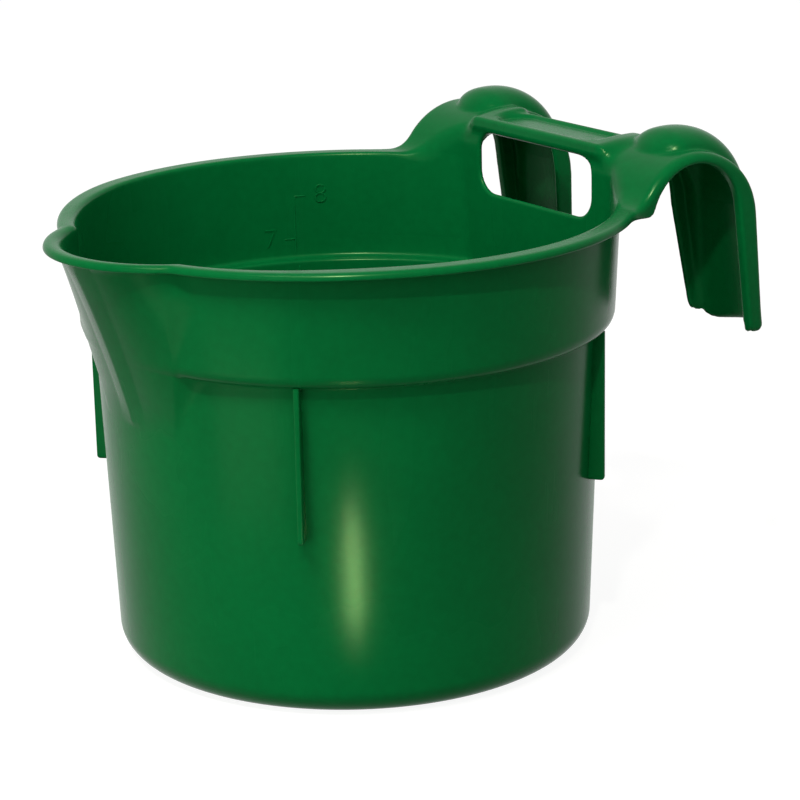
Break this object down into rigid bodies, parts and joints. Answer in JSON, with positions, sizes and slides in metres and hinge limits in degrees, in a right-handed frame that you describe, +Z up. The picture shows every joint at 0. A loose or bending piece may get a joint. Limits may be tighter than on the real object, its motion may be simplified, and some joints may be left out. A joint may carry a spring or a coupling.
{
  "type": "hanging feed trough",
  "caption": "Round green plastic feed bucket with a pouring spout, a flanged rim and broad over-rail hooks joined by a grip bar over a hand hole.",
  "frame": {"origin": "centre of the flat underside of the base, on the axis of the pot", "axes": "+Z up, +Y towards the hooks and the fence rail, -Y towards the pouring spout, +X to the right when looking from the spout towards the hooks"},
  "size_m": [0.2682, 0.3307, 0.2386],
  "materials": {
    "green_plastic": "semi-gloss moulded polyethylene, deep green"
  },
  "bodies": {
    "root": {"back_panel": "green_plastic", "band_left": "green_plastic", "band_right": "green_plastic", "base_floor": "green_plastic", "base_corner": "green_plastic", "ear_left": "green_plastic", "ear_right": "green_plastic", "ear_lip_left": "green_plastic", "ear_lip_right": "green_plastic", "grip_bar": "green_plastic", "hook_crown_left": "green_plastic", "hook_crown_right": "green_plastic", "hook_inner_flange_left": "green_plastic", "hook_inner_flange_right": "green_plastic", "hook_outer_flange_left": "green_plastic", "hook_outer_flange_right": "green_plastic", "lower_wall": "green_plastic", "pour_spout": "green_plastic", "quart_scale_band": "green_plastic", "quart_scale_lower": "green_plastic", "rib_front_left": "green_plastic", "rib_front_right": "green_plastic", "rib_rear_left": "green_plastic", "rib_rear_right": "green_plastic", "rim_flange": "green_plastic"}
  },
  "joints": []
}
